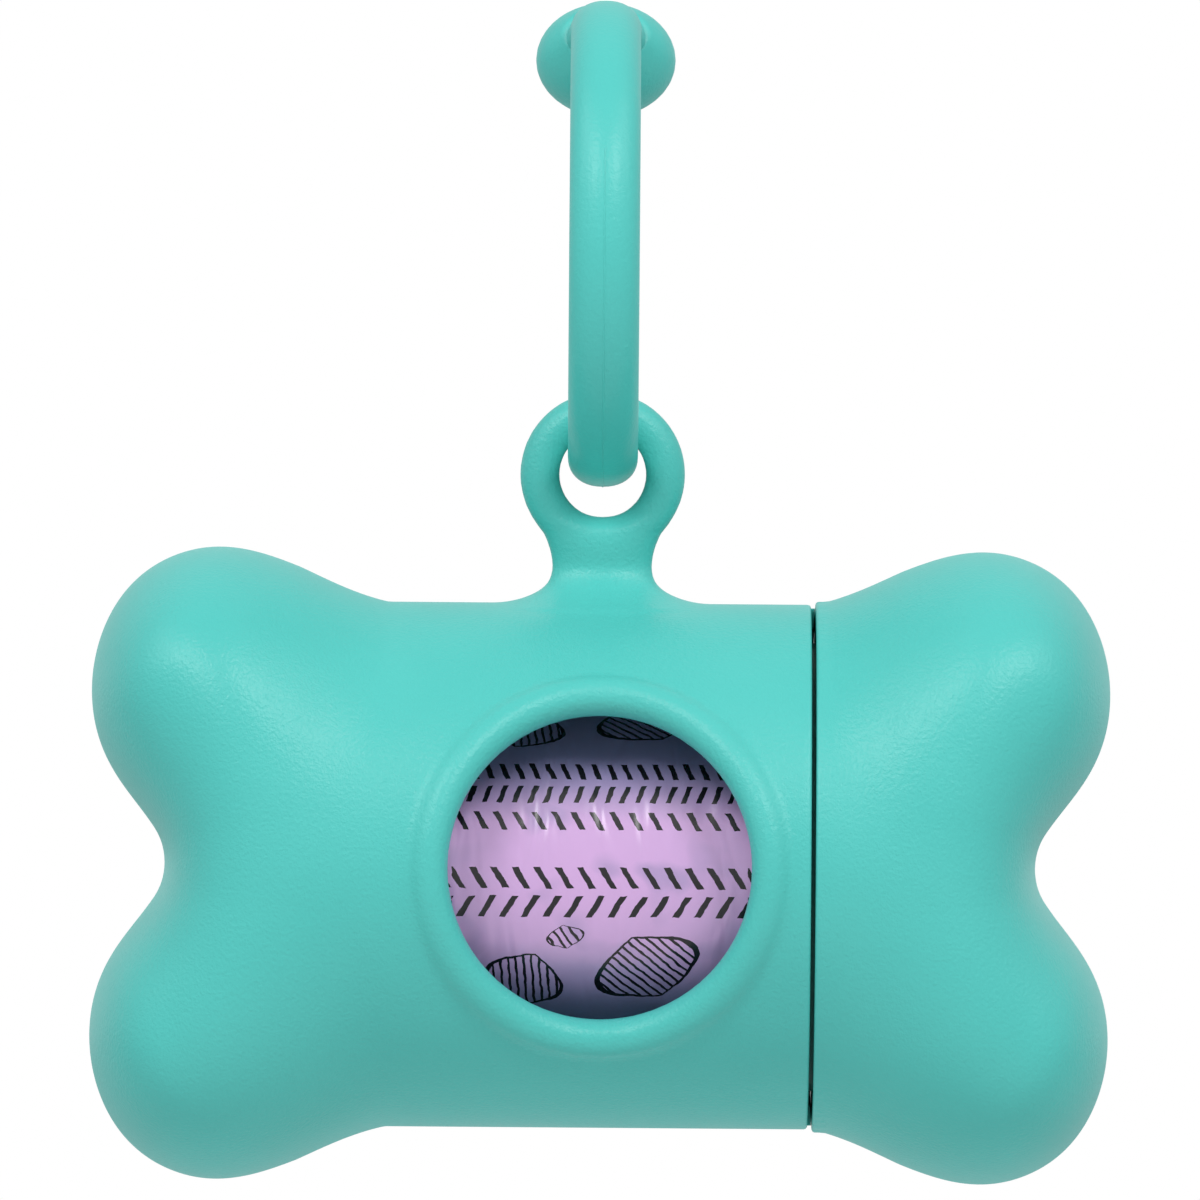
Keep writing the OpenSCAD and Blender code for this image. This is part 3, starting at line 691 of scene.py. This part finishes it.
def makeCollar():
    (x0, x1), (r0, r1), (f0, f1) = collar["x"], collar["radius"], collar["flangeX"]
    c, top = collar["chamfer"], collar["flangeR"]
    profile = ((x0, r0), (x1 - c, r0), (x1, r0 + c), (x1, r1 - c), (x1 - c * 2, r1), (f1, r1), (f1, top),
               (f0, top), (f0, r1), (x0, r1))
    k0, k1 = collar["keyX"]
    w, root, keyTop = collar["keyWidth"] / 2, r1 - collar["keyRoot"], collar["keyTop"]
    key = sweep([[(x, root, -w), (x, y, -w), (x, y, w), (x, root, w)]
                 for x, y in ((k0, keyTop), (k1 - collar["keyLead"], keyTop), (k1, r1 + collar["keyEnd"]))])
    makePiece("mouthCollar", [spun(profile, 0, 360, collar["steps"]), key], collarPlastic, "mouth_collar",
              "housing")


makeCollar()


# angles in degrees above level at the back; past joinAt the strap's free end meets the head
ring = {"z": 54.99, "outer": 21.5, "halfWidth": 3.1, "outerDepth": 2.65, "innerDepth": 1.2, "power": 2.2,
        "headAt": 57.3, "headCentre": 19.58, "headWide": 6.2, "headThick": 4.5, "joinAt": 72.0, "slit": 0.44,
        "flareOver": 20.0, "flare": 0.14, "blend": 1.6, "steps": 320, "around": 44,
        "endRows": ((0.0, 0.90), (0.12, 0.955), (0.35, 0.99), (0.8, 1.0)), "endsOver": 1.6,
        "pegCentre": 19.55, "pegR": 1.3, "pegRun": (-1.2, 2.0), "pegSides": 24}


def softMax(a, b, k):
    return -softMin(-a, -b, k)


def ringSection(e, grow=1.0):
    # closed section at e degrees above level at the back, in a plane through the ring's centre
    base = ring["outer"] - ring["outerDepth"]
    along = math.radians(e - 360 - ring["headAt"]) * ring["headCentre"]
    s = math.sqrt(max(1 - (along / ring["headWide"]) ** 2, 0))  # the head's share of its full size here
    near = np.clip(1 - (e - ring["joinAt"]) / ring["flareOver"], 0, 1)
    flare = (1 + ring["flare"] * near ** 2) * grow
    k = ring["blend"]
    wide = softMax(ring["halfWidth"] * flare, ring["headWide"] * s * grow, k) if s else ring["halfWidth"] * flare
    out, low, power = ring["outerDepth"] * flare, ring["innerDepth"] * flare, ring["power"]
    middle = base
    if s:
        top = softMax(base + out, ring["headCentre"] + ring["headThick"] * s * grow, k)
        bottom = -softMax(-(base - low), -(ring["headCentre"] - ring["headThick"] * s * grow), k)
        mix = np.clip(s * 1.6, 0, 1)
        middle = base * (1 - mix) + ring["headCentre"] * mix
        out, low = top - middle, middle - bottom
        power = ring["power"] * (1 - mix) + 2.0 * mix
    turn, row = math.radians(e), []
    for t in np.linspace(0, 2 * math.pi, ring["around"], endpoint=False):
        c, q = math.cos(t), math.sin(t)
        side = math.copysign(abs(c) ** (2 / power), c) * wide
        r = middle + math.copysign(abs(q) ** (2 / power), q) * (out if q > 0 else low)
        row.append((side, r * math.cos(turn), ring["z"] + r * math.sin(turn)))
    return row


# a round bead sunk into the strap, from above the middle of its front round the bottom to the head, in degrees
flash = {"radius": 0.10, "proud": 0.05, "from": 158.0, "to": 408.0, "steps": 360, "around": 8}


def flashLine():
    # the fine line that the mould's two halves leave round the outside of the strap, swept along it
    sizes = {"ringRadius": ring["outer"] - flash["radius"] + flash["proud"], "lineRadius": flash["radius"],
             "from": math.radians(flash["from"]), "sweep": math.radians(flash["to"] - flash["from"])}
    tree, given = newShapeTree("mouldLine", [(n, "Float") for n in sizes] + [("steps", "Int"),
                                                                             ("Material", "Material")])
    arc = addNode(tree, "GeometryNodeCurveArc", {"mode": "RADIUS"},
                  {"Resolution": given["steps"], "Radius": given["ringRadius"], "Start Angle": given["from"],
                   "Sweep Angle": given["sweep"]})
    bead = addNode(tree, "GeometryNodeCurvePrimitiveCircle", {"mode": "RADIUS", "Resolution": flash["around"]},
                   {"Radius": given["lineRadius"]})
    line = addNode(tree, "GeometryNodeCurveToMesh", {"Fill Caps": True},
                   {"Curve": arc.outputs["Curve"], "Profile Curve": bead.outputs["Curve"]})
    upright = addNode(tree, "GeometryNodeTransform",
                      {"Rotation": (math.radians(90), 0, math.radians(90)), "Translation": (0, 0, ring["z"])},
                      {"Geometry": line.outputs["Mesh"]})
    finishShape(tree, given, upright.outputs["Geometry"], (0, 0, -hangHeight * mm))
    return meshFromTree(tree, {**sizes, "steps": flash["steps"], "Material": ringRubber})


def makeRing():
    # from the free end's face round to the head's, with the rounding of both edges
    first, last, over = ring["joinAt"] + ring["slit"], ring["joinAt"] + 360, ring["endsOver"]
    rows = [(first + d, grow) for d, grow in ring["endRows"]]
    rows += [(e, 1.0) for e in np.linspace(first + over, last - over, ring["steps"])]
    rows += [(last - d, grow) for d, grow in ring["endRows"][::-1]]
    strap = sweep([ringSection(e, grow) for e, grow in rows])
    # the peg that holds the free end in the head
    turn = math.radians(ring["joinAt"])
    side, up = np.array([1, 0, 0]), np.array([0, math.cos(turn), math.sin(turn)])
    along = np.array([0, math.sin(turn), -math.cos(turn)])
    centre = up * ring["pegCentre"] + np.array([0, 0, ring["z"]])
    peg = sweep([[tuple(centre + along * d + ring["pegR"] * (side * math.cos(t) + up * math.sin(t)))
                  for t in np.linspace(0, 2 * math.pi, ring["pegSides"], endpoint=False)] for d in ring["pegRun"]])
    makePiece("carryRing", [strap, peg], ringRubber, "carry_ring", "ring", sharp=50, ready=[flashLine()])


makeRing()


# the windings, and the creased wrap outside them that ends wrapEnd degrees up from the front
roll = {"length": 57.0, "z": -1.3, "firstRadius": 6.75, "lastRadius": 15.55, "turns": 24.0, "film": 0.30,
        "uneven": 0.22, "wrapFrom": 15.98, "wrapTo": 16.36, "wrapTurns": 1.15, "wrapEnd": -100.0, "wrapFilm": 0.12,
        "noCrease": 0.0, "crease": 0.26, "creaseTurn": 24, "stepsPerTurn": 72, "wrapSteps": (260, 116),
        "merge": 0.002, "seed": 4, "coreBore": 5.2, "coreRadius": 6.4, "coreSteps": 96}


def filmSheet(tree, given, columns, rows, turns, startAngle, fromRadius, toRadius, thickness, crease):
    # a sheet wound round X: its place round and along comes from a flat grid, then it gets its thickness
    grid = addNode(tree, "GeometryNodeMeshGrid", {"Size X": 1.0, "Size Y": 1.0, "Vertices X": columns,
                                                  "Vertices Y": rows})
    flat = addNode(tree, "ShaderNodeSeparateXYZ", links={0: addNode(tree, "GeometryNodeInputPosition").outputs[0]})
    run = addNode(tree, "ShaderNodeMath", {"operation": "ADD", 1: 0.5}, {0: flat.outputs["X"]}).outputs[0]
    whole = addNode(tree, "ShaderNodeMath", {"operation": "MULTIPLY", 1: 2 * math.pi}, {0: turns}).outputs[0]
    angle = addNode(tree, "ShaderNodeMath", {"operation": "MULTIPLY_ADD", 2: startAngle},
                    {0: run, 1: whole}).outputs[0]
    smooth = addNode(tree, "ShaderNodeMapRange", links={"Value": run, "To Min": fromRadius, "To Max": toRadius})
    arc = addNode(tree, "ShaderNodeMath", {"operation": "MULTIPLY"}, {0: angle, 1: toRadius}).outputs[0]
    edge = addNode(tree, "ShaderNodeTexNoise", {"noise_dimensions": "2D", "Scale": 0.16, "Detail": 3.0},
                   {"Vector": addNode(tree, "ShaderNodeCombineXYZ", links={"X": arc, "Y": given["seed"]}).outputs[0]})
    short = addNode(tree, "ShaderNodeMath", {"operation": "MULTIPLY"},
                    {0: edge.outputs["Fac"], 1: given["uneven"]}).outputs[0]
    reach = addNode(tree, "ShaderNodeMath", {"operation": "MULTIPLY_ADD", 1: -2.0},
                    {0: short, 2: given["length"]}).outputs[0]
    along = addNode(tree, "ShaderNodeMath", {"operation": "MULTIPLY"}, {0: flat.outputs["Y"], 1: reach}).outputs[0]
    place = addNode(tree, "ShaderNodeCombineXYZ", links={"X": along, "Y": arc}).outputs[0]
    # long slanting creases, about 22 mm by 6 mm, and shallow dents, which only go inwards
    turned = addNode(tree, "ShaderNodeVectorRotate",
                     {"rotation_type": "Z_AXIS", "Angle": math.radians(roll["creaseTurn"])},
                     {"Vector": place}).outputs[0]
    slant = addNode(tree, "ShaderNodeVectorMath", {"operation": "MULTIPLY", 1: (0.16, 0.045, 1)}, {0: turned})
    folds = addNode(tree, "ShaderNodeTexNoise", {"noise_dimensions": "4D", "Scale": 1.0, "Detail": 4.0,
                                                 "Roughness": 0.55, "Distortion": 0.6},
                    {"Vector": slant.outputs[0], "W": given["seed"]})
    deep = addNode(tree, "ShaderNodeMath", {"operation": "MULTIPLY"}, {0: folds.outputs["Fac"], 1: crease}).outputs[0]
    out = addNode(tree, "ShaderNodeMath", {"operation": "SUBTRACT"}, {0: deep, 1: smooth.outputs["Result"]})
    front = addNode(tree, "ShaderNodeCombineXYZ", links={"X": along, "Y": out.outputs[0]})  # minus Y is the front
    curled = addNode(tree, "ShaderNodeVectorRotate", {"rotation_type": "X_AXIS", "invert": True},
                     {"Vector": front.outputs[0], "Angle": angle}).outputs[0]
    named = addNode(tree, "GeometryNodeStoreNamedAttribute", {"data_type": "FLOAT_VECTOR", "Name": "filmPlace"},
                    {"Geometry": grid.outputs["Mesh"], "Value": place})
    wound = addNode(tree, "GeometryNodeSetPosition", links={"Geometry": named.outputs[0], "Position": curled})
    inner = addNode(tree, "GeometryNodeExtrudeMesh", {"mode": "FACES", "Individual": False},
                    {"Mesh": wound.outputs[0], "Offset Scale": thickness})
    outer = addNode(tree, "GeometryNodeFlipFaces", links={"Mesh": wound.outputs[0]})
    both = addNode(tree, "GeometryNodeJoinGeometry", links={"Geometry": inner.outputs["Mesh"]})
    tree.links.new(outer.outputs[0], both.inputs["Geometry"])
    return addNode(tree, "GeometryNodeMergeByDistance", {"Distance": roll["merge"]},
                   {"Geometry": both.outputs[0]}).outputs[0]


def makeRoll():
    # the windings, which show at the ends, and the creased outer wrap with the print
    names = ("turns", "firstRadius", "lastRadius", "film", "length", "uneven", "wrapTurns", "wrapFrom", "wrapTo",
             "wrapFilm", "noCrease", "crease", "seed")
    tree, given = newShapeTree("woundFilm", [(n, "Float") for n in names] + [("Material", "Material")])
    half = roll["length"] / 2
    windings = filmSheet(tree, given, int(roll["turns"] * roll["stepsPerTurn"]) + 1, 2, given["turns"], 0.0,
                         given["firstRadius"], given["lastRadius"], given["film"], given["noCrease"])
    wrapStart = math.radians(roll["wrapEnd"] - roll["wrapTurns"] * 360)
    wrap = filmSheet(tree, given, *roll["wrapSteps"], given["wrapTurns"], wrapStart, given["wrapFrom"],
                     given["wrapTo"], given["wrapFilm"], given["crease"])
    both = addNode(tree, "GeometryNodeJoinGeometry", links={"Geometry": windings})
    tree.links.new(wrap, both.inputs["Geometry"])
    finishShape(tree, given, both.outputs[0], (0, 0, (roll["z"] - hangHeight) * mm))
    coat = filmMaterial()
    mesh = meshFromTree(tree, {"Material": coat, **{n: float(roll[n]) for n in names}})
    finishPiece("bagRoll", mesh, coat, "bag_roll", "roll", 50)
    low, high = roll["coreBore"], roll["coreRadius"]
    points, faces = spun(((-half, low), (half, low), (half, high), (-half, high)), 0, 360, roll["coreSteps"])
    points[:, 2] += roll["z"]
    makePiece("rollCore", [(points, faces)], paperMaterial(), "roll_core", "roll")


makeRoll()


# the photograph's view: its width in metres at the object, its middle seen from the bone's axis, its tilt in degrees
picture = {"distance": 2.0, "width": 0.10614, "centreX": -0.00016, "centreZ": 0.02348, "tilt": 0.44,
           "sensor": 36.0, "clip": (0.1, 50)}


def makeCamera():
    data = bpy.data.cameras.new("camera")
    data.sensor_width = picture["sensor"]
    data.lens = picture["sensor"] * picture["distance"] / picture["width"]
    data.clip_start, data.clip_end = picture["clip"]
    camera = addObject("camera", data)
    tilt = math.radians(picture["tilt"])
    right, up = (math.cos(tilt), 0, math.sin(tilt)), (-math.sin(tilt), 0, math.cos(tilt))
    place = (picture["centreX"], -picture["distance"], picture["centreZ"] - hangHeight * mm)
    camera.matrix_world = Matrix.Translation(place) @ Matrix((right, up, (0, -1, 0))).transposed().to_4x4()
    bpy.context.scene.camera = camera
    print("camera set, lens", round(data.lens), "mm")


# each softbox: degrees up and to the right, distance, size in metres and power in watts
studio = {
    "softboxes": {"mainLeft": (38, -27, 1.0, 0.30, 3.0), "mainRight": (38, 27, 1.0, 0.30, 3.2),
                  "sideLeft": (40, -66, 1.0, 0.5, 1.7), "sideRight": (40, 66, 1.0, 0.5, 1.7)},
    "aim": (0, 0, -0.06), "around": 0.34,  # strength of the even light from all round
    "floorHalf": 6.0, "floorZ": -0.30, "floorGrey": "#ececec", "floorWhite": 0.6,  # share that shows plain white
}


def backgroundRays(tree):
    # 1 for the rays that show the background, straight to the camera or by way of a reflection or a clear piece
    path = addNode(tree, "ShaderNodeLightPath").outputs
    first = addNode(tree, "ShaderNodeMath", {"operation": "MAXIMUM"},
                    {0: path["Is Camera Ray"], 1: path["Is Glossy Ray"]}).outputs[0]
    return addNode(tree, "ShaderNodeMath", {"operation": "MAXIMUM"},
                   {0: first, 1: path["Is Transmission Ray"]}).outputs[0]


def makeStage():
    # a pale floor that looks nearly white, keeps the object's shadow and is clear from below
    mesh = bpy.data.meshes.new("floor")
    half, low = studio["floorHalf"], studio["floorZ"]
    mesh.from_pydata([(-half, -half, low), (half, -half, low), (half, half, low), (-half, half, low)], [],
                     [(0, 1, 2, 3)])
    floor = addObject("floor", mesh)
    material, tree = newMaterial("paleFloor")
    matt = addNode(tree, "ShaderNodeBsdfDiffuse", {"Color": linear(studio["floorGrey"])})
    white = addNode(tree, "ShaderNodeEmission", {"Color": (1, 1, 1, 1), "Strength": 1.0})
    share = addNode(tree, "ShaderNodeMath", {"operation": "MULTIPLY", 1: studio["floorWhite"]},
                    {0: backgroundRays(tree)})
    both = addNode(tree, "ShaderNodeMixShader", links={0: share.outputs[0], 1: matt.outputs[0],
                                                       2: white.outputs[0]})
    below = addNode(tree, "ShaderNodeNewGeometry").outputs["Backfacing"]
    clear = addNode(tree, "ShaderNodeBsdfTransparent")
    sided = addNode(tree, "ShaderNodeMixShader", links={0: below, 1: both.outputs[0], 2: clear.outputs[0]})
    addNode(tree, "ShaderNodeOutputMaterial", links={"Surface": sided.outputs[0]})
    mesh.materials.append(material)
    print("floor set")


def addSoftbox(name, elevation, azimuth, distance, size, power):
    data = bpy.data.lights.new(name, "AREA")
    data.shape, data.size, data.energy = "SQUARE", size, power
    lamp = addObject(name, data)
    e, a = math.radians(elevation), math.radians(azimuth)
    away = Vector((math.sin(a) * math.cos(e), -math.cos(a) * math.cos(e), math.sin(e)))
    lamp.location = Vector(studio["aim"]) + away * distance
    lamp.rotation_mode = "QUATERNION"
    lamp.rotation_quaternion = away.to_track_quat("Z", "Y")


def makeLight():
    for name, place in studio["softboxes"].items():
        addSoftbox(name + "Softbox", *place)
    world = bpy.data.worlds.new("studio")
    bpy.context.scene.world = world
    world.use_nodes = True
    tree = world.node_tree
    tree.nodes.clear()
    around = addNode(tree, "ShaderNodeBackground", {"Color": (1, 1, 1, 1), "Strength": studio["around"]})
    white = addNode(tree, "ShaderNodeBackground", {"Color": (1, 1, 1, 1), "Strength": 1.0})
    both = addNode(tree, "ShaderNodeMixShader", links={0: backgroundRays(tree), 1: around.outputs[0],
                                                       2: white.outputs[0]})
    addNode(tree, "ShaderNodeOutputWorld", links={"Surface": both.outputs[0]})
    print("light set,", len(studio["softboxes"]), "softboxes")


makeCamera()
makeStage()
makeLight()
bpy.context.scene.view_settings.view_transform = "Standard"
